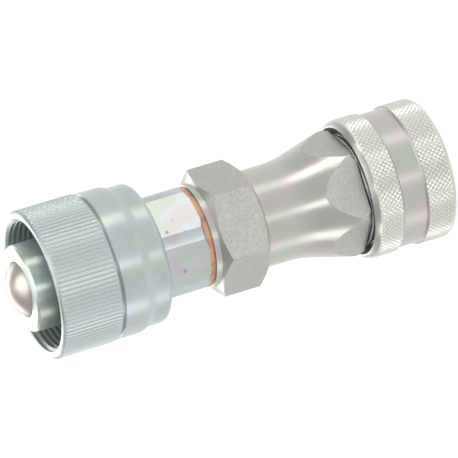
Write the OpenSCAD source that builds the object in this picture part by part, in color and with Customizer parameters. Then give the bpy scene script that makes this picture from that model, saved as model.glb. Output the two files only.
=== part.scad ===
// Hydraulic quick coupling adapter: a screw-type plug half (nut, nose and domed valve)
// screwed through a copper sealing washer into a ball-lock socket half (hex body and
// pull-back sleeve). Both halves share the Z axis: the socket's mouth is at z = 0 and the
// plug's valve is at the top. Threads are plain cylinders at their size.

/* [Sleeve] */
// Length of the sleeve
sleeve_len = 23.3; // [21:0.1:26]
// How far the front body stands out of the sleeve, so that it carries the weight
front_proud = 0.4; // [0.3:0.1:0.8]
// Length of the plain band between the knurled bands
plain_band_len = 6.4; // [4:0.1:8]
// Depth of the plain band
plain_band_depth = 0.7; // [0.3:0.05:1]
// Distance from the sleeve's mouth end to the plain band
front_band_len = 8.8; // [7.5:0.1:9.5]
// Axial run of the slopes at each side of the plain band
band_slope_len = 0.6; // [0.3:0.1:1]
// Corner radius at the mouth end
sleeve_front_round = 1.6; // [0.8:0.1:2.2]
// Length of the rounding at the rear lip
sleeve_rear_round = 2.2; // [1:0.1:2.6]
// Thickness of the rear lip where it ends
sleeve_lip = 0.35; // [0.2:0.05:0.8]
// Wall between the spring's room and the plain band
sleeve_wall = 2.4; // [1.8:0.1:3.5]
// Wall round the rear bore
sleeve_rear_wall = 1.6; // [1.2:0.1:2.2]
// How far the sleeve pulls back
sleeve_travel = 5.5; // [4.5:0.1:6.2]

/* [Socket body] */
// Hexagon of the socket body across flats
socket_af = 30; // [28:0.1:33]
// Distance from the flange's face to its largest diameter
flange_crown_h = 2.2; // [1.6:0.1:2.8]
// Radius of the flange's rounded crown
flange_crown_r = 4; // [3.2:0.1:6]
// Angle of the taper from the flange to the waist
flare_angle = 15; // [13:0.5:18]
// Diameter of the waist
waist_od = 26.4; // [24.5:0.1:29]
// Radius of the hollow that runs the taper into the waist
waist_hollow_r = 30; // [20:1:32]
// Distance from the flange's face to the hexagon
neck_len = 27.8; // [25:0.1:32]
// Length of the hexagon with its bevels
socket_hex_len = 14.2; // [12:0.1:16]
// Diameter of the collar that the washer bears on
collar_od = 28.2; // [26:0.1:30]
// Length of the collar
collar_len = 1.6; // [0.8:0.1:3]
// Diameter of the passage through the waist
socket_passage_d = 18; // [14:0.5:20]

/* [Plug body] */
// Hexagon of the plug body across flats
plug_af = 27; // [25:0.1:30]
// How far the turned corners stand above the flats
plug_corner_h = 1.2; // [0.6:0.1:1.8]
// Bevel at the hexagon's washer end
plug_bevel = 0.8; // [0.3:0.1:1.2]
// Length of hexagon that shows between washer and nut
plug_hex_show = 13; // [10:0.1:16]
// Angle between the two hexagons once screwed tight
plug_turn = 31.6; // [0:0.1:60]
// Diameter of the screwed port between the halves
port_d = 22; // [20:0.1:24]
// Length of the plug body's screwed spigot
spigot_len = 11.5; // [8:0.1:13]
// Diameter of the passage through the spigot
plug_passage_d = 16; // [12:0.5:17]

/* [Copper washer] */
// Outside diameter of the washer
washer_od = 27; // [25.5:0.1:27.6]
// Thickness of the washer
washer_t = 1.5; // [1:0.1:2.5]

/* [Coupling nut] */
// Length of the nut
nut_len = 31.4; // [28:0.1:35]
// Wall of the knurled part over the inside thread
nut_wall = 2; // [1.4:0.1:3]
// Wall of the plain rear part over the plug body
nut_rear_wall = 4.02; // [2.8:0.01:4.4]
// How far the rear face is rounded in
nut_rear_drop = 1.15; // [0.6:0.05:1.8]
// Length of the rounding behind the plain rear part
nut_rear_round = 1.6; // [1:0.1:2.5]
// Distance from the rear face to the start of the step
nut_step_at = 4.7; // [3.5:0.1:6]
// Length of the step up to the shoulder
nut_step_len = 3.2; // [2:0.1:4]
// How far the plain shoulder behind the knurl lies below the teeth
nut_shoulder_drop = 0.3; // [0.1:0.05:0.5]
// Length of the straight knurl
knurl_len = 16.5; // [14:0.1:18]
// Number of teeth round the knurl
knurl_teeth = 105; // [60:1:120]
// Depth of the knurl's teeth
knurl_depth = 0.42; // [0.2:0.02:0.6]
// Width of the groove behind the knurl
nut_groove_w = 1; // [0.6:0.1:1.4]
// Depth of the groove behind the knurl
nut_groove_depth = 0.6; // [0.3:0.1:0.8]
// Bevel round the front edge
nut_front_bevel = 0.7; // [0.3:0.1:1]
// Major diameter of the inside thread
nut_thread_d = 36; // [32:0.1:40]
// Pitch of the inside thread
nut_thread_pitch = 1.5; // [1:0.25:2]

/* [Nose and domed valve] */
// Outside diameter of the nose
nose_od = 23.3; // [21:0.1:26]
// How far the nose stands out of the nut
nose_out = 3.5; // [2:0.1:6]
// Bevel round the nose's front edge
nose_bevel = 0.5; // [0.2:0.1:0.9]
// Diameter of the valve's domed head
dome_d = 14.7; // [13:0.1:16]
// Height of the dome above the nose
dome_h = 3.5; // [2:0.1:5]
// How far the plug's valve pushes in
plug_valve_travel = 4.5; // [3:0.1:5]

/* [Socket lock and valve] */
// Diameter of the mouth bore
mouth_d = 20.6; // [18.5:0.1:22.5]
// Number of locking balls
ball_count = 8; // [8:8]
// Diameter of a locking ball
ball_d = 4; // [3.6:0.1:4.4]
// Distance from the mouth to the balls' centres
ball_z = 8; // [7.2:0.1:8.8]
// How far a locked ball stands into the mouth bore
ball_bite = 0.65; // [0.5:0.05:0.8]
// How far the socket's valve pushes in
socket_valve_travel = 4.5; // [3:0.1:5]
// Diameter of the valve stems
stem_d = 5; // [4:0.1:6]

/* [Springs and seals] */
// Wire diameter of the sleeve's spring
sleeve_wire = 1.4; // [1:0.1:1.5]
// Turns of the sleeve's spring
sleeve_turns = 4; // [3:0.5:4.5]
// Wire diameter of the valves' springs
valve_wire = 1.3; // [0.9:0.1:1.4]
// Turns of the valves' springs
valve_turns = 4; // [3:0.5:4.5]
// Mean diameter of the valves' springs
valve_spring_d = 12; // [10.6:0.1:13]
// Section diameter of the O-rings
oring_d = 1.4; // [1.2:0.05:1.6]
// Section diameter of the mouth's main seal
main_seal_d = 1.8; // [1.5:0.05:2.1]

/* [Fits] */
// Radial clearance of parts that slide or turn on each other
run_fit = 0.08; // [0.05:0.01:0.1]
// Radial clearance of screwed and seated parts
seat_fit = 0.05; // [0.03:0.01:0.08]
// Gap between the sleeve's rear lip and the hex flange
flange_gap = 0.7; // [0.5:0.1:1.5]
// Radial clearance of the sleeve's rear bore over the hex flange
flange_fit = 0.3; // [0.2:0.05:0.4]

/* [Hidden] */

$fn = 96;
EPS = 0.01;

// Heights along the axis, from the mouth upwards
sleeve_z = front_proud;
sleeve_end_z = sleeve_z + sleeve_len;
flange_z = sleeve_end_z + flange_gap;
socket_hex_z = flange_z + neck_len;
collar_z = socket_hex_z + socket_hex_len;
collar_end_z = collar_z + collar_len;
plug_z = collar_end_z + washer_t;
nut_z = plug_z + plug_hex_show;
nut_end_z = nut_z + nut_len;
nose_end_z = nut_end_z + nose_out;

// Radii that several parts share
ball_r = ball_d / 2;
mouth_r = mouth_d / 2;
lock_gap = 0.05;
front_r = mouth_r + ball_d - ball_bite - lock_gap;
port_r = port_d / 2;
stem_r = stem_d / 2;

// Angle round the axis at which ball i sits
function ball_angle(i) = 360 / ball_count * (i + 0.5);

// Balls: a ball moves out by ball_travel while the sleeve pulls back by sleeve_travel
ball_centre_r = mouth_r - ball_bite + ball_r;
ball_travel = ball_bite + 0.07;
ball_slope = ball_travel / sleeve_travel;
ball_hole_r = ball_r + seat_fit;
ball_lip_len = 0.55;
ball_lip_r = sqrt(pow(ball_r, 2) - pow(ball_r - ball_bite - ball_lip_len, 2)) + 0.02;

// Socket front body, outside
mouth_bevel = 0.8;
front_bevel = 0.4;
front_thread_r = front_r - 0.6;
front_thread_len = 6.8;
tail_r = front_thread_r - 1.45;
body_seal_z = flange_z + front_thread_len;
body_step_z = body_seal_z + 2;

// Mouth seal groove
backup_len = 0.8;
groove_z = ball_z + 4.6;
groove_len = main_seal_d + backup_len + 0.4;
groove_r = mouth_r + main_seal_d - 0.1;

// Socket valve and its seat
chamber_r = tail_r - 1.65;
throat_r = chamber_r - 1.7;
throat_z = groove_z + groove_len + 1.8;
throat_len = 1;
seat_z = throat_z + throat_len;
seat_end_z = seat_z + chamber_r - throat_r;
valve_gap = 0.05;
socket_valve_skirt_r = chamber_r - 0.6;
socket_valve_back_z = seat_end_z + 2.4;
socket_spring_spare = 5.2;
front_end_z = socket_valve_back_z + socket_valve_travel + valve_turns * valve_wire + socket_spring_spare;
guide_t = 3;
guide_shoulder_z = front_end_z + guide_t;
socket_stem_end_z = guide_shoulder_z - 1.4;
socket_port_z = collar_end_z - spigot_len - 0.5;

// Stop ring at the mouth
stop_ring_t = 1.2;
stop_ring_w = 1.6;
stop_ring_groove_r = front_r - 0.9;
stop_ring_r = front_r + stop_ring_w;
sleeve_mouth_r = stop_ring_r + 0.3;
stop_shoulder_z = front_proud + 2.5;
stop_ring_z = stop_shoulder_z - seat_fit - stop_ring_t;

// Sleeve, from the inside outwards
land_r = ball_centre_r + ball_r + seat_fit;
land_z = ball_z + ball_r * sin(atan(ball_slope));
land_len = 3.4;
spring_shoulder_z = ball_z + land_len;
spring_play = 0.45;
spring_chamber_r = front_r + sleeve_wire + 2 * spring_play;
plain_band_r = spring_chamber_r + sleeve_wall;
sleeve_r = plain_band_r + plain_band_depth;
rear_bore_r = sleeve_r - sleeve_rear_wall;
flange_r = rear_bore_r - flange_fit;
rear_bore_z = flange_z - sleeve_travel - 0.1;

// Plug valve, nose and plug body, from the inside outwards
dome_r = dome_d / 2;
dome_hole_r = dome_r + 0.2;
seat_w = 1.45;
plug_chamber_r = dome_hole_r + seat_w;
plug_skirt_r = plug_chamber_r - 0.4;
guide_bore_r = plug_chamber_r + 0.4;
shank_r = guide_bore_r + 2.6;
nose_r = nose_od / 2;
nose_collar_r = nose_r + 2.55;
body_cyl_r = plug_af / 2 + plug_corner_h;

// Heights in the plug half: the valve's seat is set from the nose, the shank from the body
dome_land_len = 3.45;
plug_seat_top_z = nose_end_z - dome_land_len;
plug_seat_z = plug_seat_top_z - seat_w;
plug_valve_back_z = plug_seat_z - 2.2;
plug_spring_spare = 1.6;
plug_chamber_z = plug_valve_back_z - plug_valve_travel - valve_turns * valve_wire - plug_spring_spare;
plug_guide_t = 2.8;
plug_guide_z = plug_chamber_z - plug_guide_t;
plug_stem_end_z = plug_guide_z - 1.2;
ring_t = 1.2;
ring_w = 1.4;
ring_groove_r = guide_bore_r + 0.8;
body_end_z = nut_z + 10.9;
hex_end_z = nut_z + 1.5;
wire_ring_z = nut_z + 6;
wire_r = 0.8;
shank_z = body_end_z - 12.4;
nose_collar_len = 2.6;
nose_seal_z = shank_z + 4;
seal_groove_half = oring_d / 2 + 0.2;

// Nut
nut_bore_r = body_cyl_r + run_fit;
nut_r = nut_thread_d / 2 + nut_wall;
nut_rear_r = nut_bore_r + nut_rear_wall;
nut_shoulder_r = nut_r - nut_shoulder_drop;
nut_floor_z = body_end_z + 0.5;
thread_h = 0.54 * nut_thread_pitch;
nut_minor_r = nut_thread_d / 2 - thread_h;
knurl_end_z = nut_end_z - 0.2;
knurl_z = knurl_end_z - knurl_len;
edge_bevel = 0.8;

// Points of an arc about a centre [r, z], from angle a0 to a1
function arc(centre, radius, a0, a1, steps = 12) =
    [for (i = [0:steps])
        let (a = a0 + (a1 - a0) * i / steps)
        [centre[0] + radius * cos(a), centre[1] + radius * sin(a)]];

// A solid of revolution from [r, z] points
module turned(points, sweep = 360) {
    rotate_extrude(angle = sweep, $fn = 128)
        polygon(points);
}

// A ring of round section
module round_ring(centre_r, section_r, z, sweep = 360) {
    translate([0, 0, z])
        rotate_extrude(angle = sweep, $fn = 128)
            translate([centre_r, 0])
                circle(r = section_r, $fn = 32);
}

// A flat ring
module flat_ring(inner_r, outer_r, z0, z1, sweep = 360) {
    turned([[inner_r, z0], [outer_r, z0], [outer_r, z1], [inner_r, z1]], sweep);
}

// A hexagonal bar between two heights
module hex_bar(af, z0, z1) {
    translate([0, 0, z0])
        cylinder(r = af / 2 / cos(30), h = z1 - z0, $fn = 6);
}

// A coil spring with ends cut flat; its section at any height is a crescent of the wire
module coil(mean_r, wire, turns, z0, z1) {
    pitch = (z1 - z0) / turns;
    half = 180 * wire / pitch;
    steps = 6;
    function gap(a) = sqrt(max(0, pow(wire / 2, 2) - pow(pitch * a / 360, 2)));
    function at(r, a) = [r * cos(a), r * sin(a)];
    outer = [for (i = [-steps:steps]) let (a = half * i / steps) at(mean_r + gap(a), a)];
    inner = [for (i = [steps - 1:-1:1 - steps]) let (a = half * i / steps) at(mean_r - gap(a), a)];
    translate([0, 0, z0])
        linear_extrude(height = z1 - z0, twist = -360 * turns, slices = ceil(turns * 18), $fn = 16)
            polygon(concat(outer, inner));
}

// A spoked disc that guides a valve stem and lets the oil past
module spoked_guide(rim_r, z, thickness) {
    hub_r = stem_r + 1.7;
    rim_inner_r = rim_r - 1.5;
    difference() {
        union() {
            flat_ring(rim_inner_r, rim_r, z, z + thickness);
            translate([0, 0, z])
                cylinder(r = hub_r, h = thickness);
            for (turn = [0, 120, 240])
                rotate([0, 0, turn])
                    translate([stem_r + 0.6, -1.3, z])
                        cube([rim_inner_r - stem_r, 2.6, thickness]);
        }
        translate([0, 0, z - 1])
            cylinder(r = stem_r + run_fit, h = thickness + 2);
    }
}

// Turned outline of the socket body, from the flange's face to the collar
module socket_body_outline() {
    crown = [flange_r - flange_crown_r, flange_z + flange_crown_h];
    face_angle = -asin(flange_crown_h / flange_crown_r);
    waist_r = waist_od / 2;
    hollow_r = waist_r + waist_hollow_r;
    flare_top_r = crown[0] + flange_crown_r * cos(flare_angle);
    flare_top_z = crown[1] + flange_crown_r * sin(flare_angle);
    flare_end_r = hollow_r - waist_hollow_r * cos(flare_angle);
    flare_end_z = flare_top_z + (flare_top_r - flare_end_r) / tan(flare_angle);
    waist_z = flare_end_z + waist_hollow_r * sin(flare_angle);
    corner_r = socket_af / 2 / cos(30);
    bevel = tan(30);
    turned(concat(
        [[0, flange_z]],
        arc(crown, flange_crown_r, face_angle, flare_angle),
        arc([hollow_r, waist_z], waist_hollow_r, 180 + flare_angle, 180),
        [
            [waist_r, socket_hex_z],
            [corner_r, socket_hex_z + (corner_r - waist_r) * bevel],
            [corner_r, collar_z - (corner_r - collar_od / 2) * bevel],
            [collar_od / 2, collar_z],
            [collar_od / 2, collar_end_z],
            [0, collar_end_z],
        ]
    ));
}

module socket_body() {
    passage_r = socket_passage_d / 2;
    bore_r = port_r + seat_fit;
    color([0.72, 0.72, 0.62])
        difference() {
            intersection() {
                socket_body_outline();
                hex_bar(socket_af, flange_z - 1, collar_end_z + 1);
            }
            turned([
                [0, flange_z - EPS],
                [front_thread_r + seat_fit, flange_z - EPS],
                [front_thread_r + seat_fit, body_step_z],
                [tail_r + seat_fit, body_step_z],
                [tail_r + seat_fit, guide_shoulder_z],
                [passage_r, guide_shoulder_z],
                [passage_r, socket_port_z - 1],
                [bore_r, socket_port_z],
                [bore_r, collar_end_z - 0.6],
                [bore_r + 0.6 + EPS, collar_end_z + EPS],
                [0, collar_end_z + EPS],
            ]);
        }
}

// Ball hole: full size from the outside, with a lip at the bore that keeps the ball
module ball_hole() {
    lip_end_r = mouth_r + ball_lip_len;
    translate([0, 0, ball_z])
        rotate([0, 90, 0]) {
            cylinder(r = ball_lip_r, h = front_r + 1);
            translate([0, 0, lip_end_r])
                cylinder(r = ball_hole_r, h = front_r + 1 - lip_end_r);
        }
}

module socket_front_body() {
    color([0.70, 0.71, 0.66])
        difference() {
            turned([
                [mouth_r + mouth_bevel, 0],
                [front_r - front_bevel, 0],
                [front_r, front_bevel],
                [front_r, stop_ring_z - seat_fit],
                [stop_ring_groove_r, stop_ring_z - seat_fit],
                [stop_ring_groove_r, stop_ring_z + stop_ring_t + seat_fit],
                [front_r, stop_ring_z + stop_ring_t + seat_fit],
                [front_r, flange_z],
                [front_thread_r, flange_z],
                [front_thread_r, body_seal_z],
                [tail_r, body_seal_z],
                [tail_r, front_end_z],
                [chamber_r, front_end_z],
                [chamber_r, seat_end_z],
                [throat_r, seat_z],
                [throat_r, throat_z],
                [mouth_r, throat_z],
                [mouth_r, groove_z + groove_len],
                [groove_r, groove_z + groove_len],
                [groove_r, groove_z],
                [mouth_r, groove_z],
                [mouth_r, mouth_bevel],
            ]);
            for (i = [0:ball_count - 1])
                rotate([0, 0, ball_angle(i)])
                    ball_hole();
        }
}

module body_seal() {
    space_r = front_thread_r + seat_fit - tail_r;
    color([0.08, 0.08, 0.09])
        round_ring(tail_r + space_r / 2, space_r / 2 - 0.02, (body_seal_z + body_step_z) / 2);
}

module main_seal() {
    color([0.08, 0.08, 0.09])
        round_ring(groove_r - main_seal_d / 2 - 0.03, main_seal_d / 2, groove_z + main_seal_d / 2 + 0.1);
}

module backup_ring() {
    end_z = groove_z + groove_len - 0.05;
    color([0.85, 0.84, 0.80])
        flat_ring(mouth_r + seat_fit, groove_r - seat_fit, end_z - backup_len, end_z);
}

// Round groove and ring that seal the socket valve on its cone
module socket_valve_oring(extra) {
    section_r = oring_d / 2;
    ring_r = throat_r + 0.1;
    ring_z = seat_z + ring_r - throat_r + (section_r + 0.03) * sqrt(2);
    round_ring(ring_r, section_r + extra, ring_z);
}

module socket_valve() {
    cone_z = seat_z + valve_gap * sqrt(2);
    nose_r = throat_r - 0.2;
    color([0.72, 0.72, 0.70])
        difference() {
            turned([
                [0, throat_z - 4.4],
                [nose_r - 4, throat_z - 4.4],
                [nose_r, throat_z - 1.4],
                [nose_r, cone_z - 0.2],
                [socket_valve_skirt_r, cone_z - 0.2 + socket_valve_skirt_r - nose_r],
                [socket_valve_skirt_r, socket_valve_back_z],
                [stem_r, socket_valve_back_z],
                [stem_r, socket_stem_end_z - 0.5],
                [stem_r - 0.5, socket_stem_end_z],
                [0, socket_stem_end_z],
            ]);
            socket_valve_oring(0.02);
        }
}

module socket_valve_seal() {
    color([0.08, 0.08, 0.09])
        socket_valve_oring(0);
}

module socket_valve_spring() {
    color([0.62, 0.63, 0.65])
        coil(valve_spring_d / 2, valve_wire, valve_turns, socket_valve_back_z + EPS, front_end_z - EPS);
}

module socket_valve_guide() {
    color([0.70, 0.70, 0.68])
        spoked_guide(tail_r, front_end_z, guide_t);
}

// Outside of the sleeve, from the mouth end to the rear lip
function sleeve_outside() =
    let (
        band_z = sleeve_z + front_band_len,
        band_end_z = band_z + plain_band_len,
        front_round = [sleeve_r - sleeve_front_round, sleeve_z + sleeve_front_round],
        lip_r = rear_bore_r + sleeve_lip,
        drop = sleeve_r - lip_r,
        round_r = (pow(drop, 2) + pow(sleeve_rear_round, 2)) / (2 * drop),
        rear_round = [sleeve_r - round_r, sleeve_end_z - sleeve_rear_round],
        lip_angle = asin(sleeve_rear_round / round_r)
    )
    concat(
        arc(front_round, sleeve_front_round, -90, 0),
        [
            [sleeve_r, band_z - band_slope_len],
            [plain_band_r, band_z],
            [plain_band_r, band_end_z],
            [sleeve_r, band_end_z + band_slope_len],
        ],
        arc(rear_round, round_r, 0, lip_angle)
    );

module socket_sleeve() {
    ramp_r = land_r + (land_z - stop_shoulder_z) * ball_slope;
    color([0.70, 0.71, 0.66])
        turned(concat(
            sleeve_outside(),
            [
                [rear_bore_r, sleeve_end_z],
                [rear_bore_r, rear_bore_z],
                [spring_chamber_r, rear_bore_z],
                [spring_chamber_r, spring_shoulder_z],
                [land_r, spring_shoulder_z],
                [land_r, land_z],
                [ramp_r, stop_shoulder_z],
                [sleeve_mouth_r, stop_shoulder_z],
                [sleeve_mouth_r, sleeve_z],
            ]
        ));
}

module sleeve_spring() {
    color([0.62, 0.63, 0.65])
        coil((front_r + spring_chamber_r) / 2, sleeve_wire, sleeve_turns, spring_shoulder_z + EPS, flange_z - EPS);
}

module sleeve_stop_ring() {
    color([0.45, 0.45, 0.46])
        rotate([0, 0, 10])
            flat_ring(stop_ring_groove_r + 0.05, stop_ring_r, stop_ring_z, stop_ring_z + stop_ring_t, 340);
}

module locking_ball(i) {
    color([0.86, 0.87, 0.88])
        rotate([0, 0, ball_angle(i)])
            translate([ball_centre_r, 0, ball_z])
                sphere(r = ball_r);
}

module copper_washer() {
    color([0.72, 0.42, 0.28])
        flat_ring(port_r + 0.15, washer_od / 2, collar_end_z, plug_z);
}

// Groove and wire that hold the nut on the plug body
module nut_wire(section_r, sweep = 360) {
    round_ring(body_cyl_r + run_fit / 2, section_r, wire_ring_z, sweep);
}

module plug_body() {
    spigot_z = collar_end_z - spigot_len;
    passage_r = plug_passage_d / 2;
    socket_r = shank_r + seat_fit;
    color([0.66, 0.70, 0.70])
        difference() {
            union() {
                intersection() {
                    turned([
                        [0, plug_z],
                        [body_cyl_r - plug_bevel, plug_z],
                        [body_cyl_r, plug_z + plug_bevel],
                        [body_cyl_r, hex_end_z + EPS],
                        [0, hex_end_z + EPS],
                    ]);
                    rotate([0, 0, plug_turn])
                        hex_bar(plug_af, plug_z - 1, hex_end_z + 1);
                }
                turned([
                    [0, hex_end_z],
                    [body_cyl_r, hex_end_z],
                    [body_cyl_r, body_end_z],
                    [0, body_end_z],
                ]);
                turned([
                    [0, spigot_z],
                    [port_r - 1, spigot_z],
                    [port_r, spigot_z + 1],
                    [port_r, plug_z + EPS],
                    [0, plug_z + EPS],
                ]);
            }
            turned([
                [0, spigot_z - 1],
                [passage_r, spigot_z - 1],
                [passage_r, shank_z - 0.5],
                [socket_r, shank_z - 0.5],
                [socket_r, body_end_z + 1],
                [0, body_end_z + 1],
            ]);
            nut_wire(wire_r + 0.04);
        }
}

module plug_nose() {
    seal_groove_r = shank_r - oring_d;
    color([0.68, 0.71, 0.70])
        turned([
            [guide_bore_r, shank_z],
            [shank_r, shank_z],
            [shank_r, nose_seal_z - seal_groove_half],
            [seal_groove_r, nose_seal_z - seal_groove_half],
            [seal_groove_r, nose_seal_z + seal_groove_half],
            [shank_r, nose_seal_z + seal_groove_half],
            [shank_r, body_end_z],
            [nose_collar_r, body_end_z],
            [nose_collar_r, body_end_z + nose_collar_len],
            [nose_r, body_end_z + nose_collar_len],
            [nose_r, nose_end_z - nose_bevel],
            [nose_r - nose_bevel, nose_end_z],
            [dome_hole_r, nose_end_z],
            [dome_hole_r, plug_seat_top_z],
            [plug_chamber_r, plug_seat_z],
            [plug_chamber_r, plug_chamber_z],
            [guide_bore_r, plug_chamber_z],
            [guide_bore_r, plug_guide_z],
            [ring_groove_r, plug_guide_z],
            [ring_groove_r, plug_guide_z - ring_t],
            [guide_bore_r, plug_guide_z - ring_t],
        ]);
}

module nose_seal() {
    section_r = oring_d / 2;
    color([0.08, 0.08, 0.09])
        round_ring(shank_r - section_r + 0.01, section_r, nose_seal_z);
}

// Round groove and ring that seal the plug's valve on its cone
module plug_valve_oring(extra) {
    section_r = oring_d / 2;
    ring_r = dome_r + 0.3;
    seat_at_ring_z = plug_seat_top_z - (ring_r - dome_hole_r);
    round_ring(ring_r, section_r + extra, seat_at_ring_z - (section_r + 0.03) * sqrt(2));
}

module plug_valve() {
    dome_round = (pow(dome_r, 2) + pow(dome_h, 2)) / (2 * dome_h);
    dome_centre = [0, nose_end_z + dome_h - dome_round];
    base_angle = acos(dome_r / dome_round);
    cone_z = plug_seat_top_z + dome_hole_r - dome_r - valve_gap * sqrt(2);
    color([0.74, 0.70, 0.68])
        difference() {
            turned(concat(
                [
                    [0, plug_stem_end_z],
                    [stem_r - 0.5, plug_stem_end_z],
                    [stem_r, plug_stem_end_z + 0.5],
                    [stem_r, plug_valve_back_z],
                    [plug_skirt_r, plug_valve_back_z],
                    [plug_skirt_r, cone_z - (plug_skirt_r - dome_r)],
                    [dome_r, cone_z],
                ],
                arc(dome_centre, dome_round, base_angle, 90, 24)
            ));
            plug_valve_oring(0.02);
        }
}

module plug_valve_seal() {
    color([0.08, 0.08, 0.09])
        plug_valve_oring(0);
}

module plug_valve_spring() {
    color([0.62, 0.63, 0.65])
        coil(valve_spring_d / 2, valve_wire, valve_turns, plug_chamber_z + EPS, plug_valve_back_z - EPS);
}

module plug_valve_guide() {
    color([0.70, 0.70, 0.68])
        spoked_guide(guide_bore_r - seat_fit, plug_guide_z, plug_guide_t);
}

module guide_ring() {
    color([0.45, 0.45, 0.46])
        rotate([0, 0, 15])
            flat_ring(guide_bore_r - ring_w, ring_groove_r - 0.05, plug_guide_z - ring_t + 0.02, plug_guide_z - 0.02, 330);
}

module nut_wire_ring() {
    color([0.62, 0.63, 0.65])
        nut_wire(wire_r, 345);
}

// Straight knurl: a toothed section cut back by a bevelled outline
module straight_knurl() {
    tip_r = nut_r;
    root_r = tip_r - knurl_depth;
    tooth = 360 / knurl_teeth;
    teeth = [for (i = [0:knurl_teeth - 1])
        for (side = [0, 1])
            let (r = side == 0 ? tip_r : root_r, a = tooth * (i + side / 2))
            [r * cos(a), r * sin(a)]];
    intersection() {
        translate([0, 0, knurl_z])
            linear_extrude(height = nut_end_z - knurl_z)
                polygon(teeth);
        turned([
            [0, knurl_z],
            [root_r - 0.1, knurl_z],
            [tip_r + 0.1, knurl_z + 0.6],
            [tip_r + 0.1, nut_end_z - nut_front_bevel],
            [tip_r + 0.1 - nut_front_bevel, nut_end_z],
            [0, nut_end_z],
        ]);
    }
}

module coupling_nut() {
    step_z = nut_z + nut_step_at;
    round_r = (pow(nut_rear_drop, 2) + pow(nut_rear_round, 2)) / (2 * nut_rear_drop);
    round_angle = asin(nut_rear_round / round_r);
    groove_mid_z = knurl_z - nut_groove_w / 2;
    rear_outline = concat(
        [[nut_bore_r + edge_bevel, nut_z]],
        arc([nut_rear_r - round_r, nut_z + nut_rear_round], round_r, -round_angle, 0),
        [for (i = [0:8])
            let (s = i / 8, ease = (1 - cos(180 * s)) / 2)
            [nut_rear_r + (nut_shoulder_r - nut_rear_r) * ease, step_z + nut_step_len * s]],
        [
            [nut_shoulder_r, groove_mid_z - nut_groove_w / 2],
            [nut_shoulder_r - nut_groove_depth, groove_mid_z],
            [nut_shoulder_r - 0.3, knurl_z + EPS],
        ]
    );
    bore = [
        [0, nut_end_z + EPS],
        [nut_thread_d / 2 + EPS, nut_end_z + EPS],
        [nut_minor_r, nut_end_z - thread_h],
        [nut_minor_r, nut_floor_z],
        [nut_bore_r, nut_floor_z],
        [nut_bore_r, nut_z + edge_bevel],
        [nut_bore_r + edge_bevel + EPS, nut_z - EPS],
        [0, nut_z - EPS],
    ];
    color([0.66, 0.70, 0.70])
        difference() {
            union() {
                turned(concat([[0, nut_z]], rear_outline, [[0, knurl_z + EPS]]));
                straight_knurl();
            }
            turned(bore);
            nut_wire(wire_r + 0.04);
        }
}

socket_body();
socket_front_body();
body_seal();
main_seal();
backup_ring();
socket_valve();
socket_valve_seal();
socket_valve_spring();
socket_valve_guide();
socket_sleeve();
sleeve_spring();
sleeve_stop_ring();
locking_ball(0);  // locking_ball_1
locking_ball(1);  // locking_ball_2
locking_ball(2);  // locking_ball_3
locking_ball(3);  // locking_ball_4
locking_ball(4);  // locking_ball_5
locking_ball(5);  // locking_ball_6
locking_ball(6);  // locking_ball_7
locking_ball(7);  // locking_ball_8
copper_washer();
plug_body();
plug_nose();
nose_seal();
plug_valve();
plug_valve_seal();
plug_valve_spring();
plug_valve_guide();
guide_ring();
nut_wire_ring();
coupling_nut();
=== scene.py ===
"""Dresses the hydraulic quick coupling adapter: plated finishes, knurls, thread and studio."""

import logging
import math
from abc import ABC, abstractmethod
from dataclasses import dataclass, field
from enum import Enum
from typing import Callable, Sequence

import bpy
import numpy as np
from mathutils import Matrix, Vector


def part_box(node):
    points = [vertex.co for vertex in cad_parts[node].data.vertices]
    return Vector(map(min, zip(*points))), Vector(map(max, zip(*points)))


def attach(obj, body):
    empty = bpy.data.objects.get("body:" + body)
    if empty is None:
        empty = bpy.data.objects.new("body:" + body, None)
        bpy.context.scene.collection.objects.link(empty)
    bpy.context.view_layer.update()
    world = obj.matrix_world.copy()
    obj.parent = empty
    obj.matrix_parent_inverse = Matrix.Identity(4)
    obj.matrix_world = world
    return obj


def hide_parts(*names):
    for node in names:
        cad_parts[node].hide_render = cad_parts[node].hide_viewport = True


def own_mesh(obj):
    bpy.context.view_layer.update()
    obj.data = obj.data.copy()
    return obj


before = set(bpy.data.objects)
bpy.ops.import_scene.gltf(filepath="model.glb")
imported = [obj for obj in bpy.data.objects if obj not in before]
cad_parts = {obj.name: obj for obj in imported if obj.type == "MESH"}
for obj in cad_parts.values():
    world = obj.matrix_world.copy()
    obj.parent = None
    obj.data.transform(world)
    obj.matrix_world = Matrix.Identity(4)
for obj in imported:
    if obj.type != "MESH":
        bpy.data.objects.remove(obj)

logging.basicConfig(level=logging.INFO, format="%(message)s")
log = logging.getLogger("adapter")

MM = 0.001

Colour = tuple[float, float, float]
Point = tuple[float, float]


class Body(Enum):
    """The bodies of the adapter that pieces ride on."""

    HOUSING = "housing"
    SLEEVE = "sleeve"
    NUT = "nut"


class FlatStyle(Enum):
    """How the flats of a hexagon look."""

    SPOTTED = "spotted"
    PITTED = "pitted"


# ---------------------------------------------------------------- node trees


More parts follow.
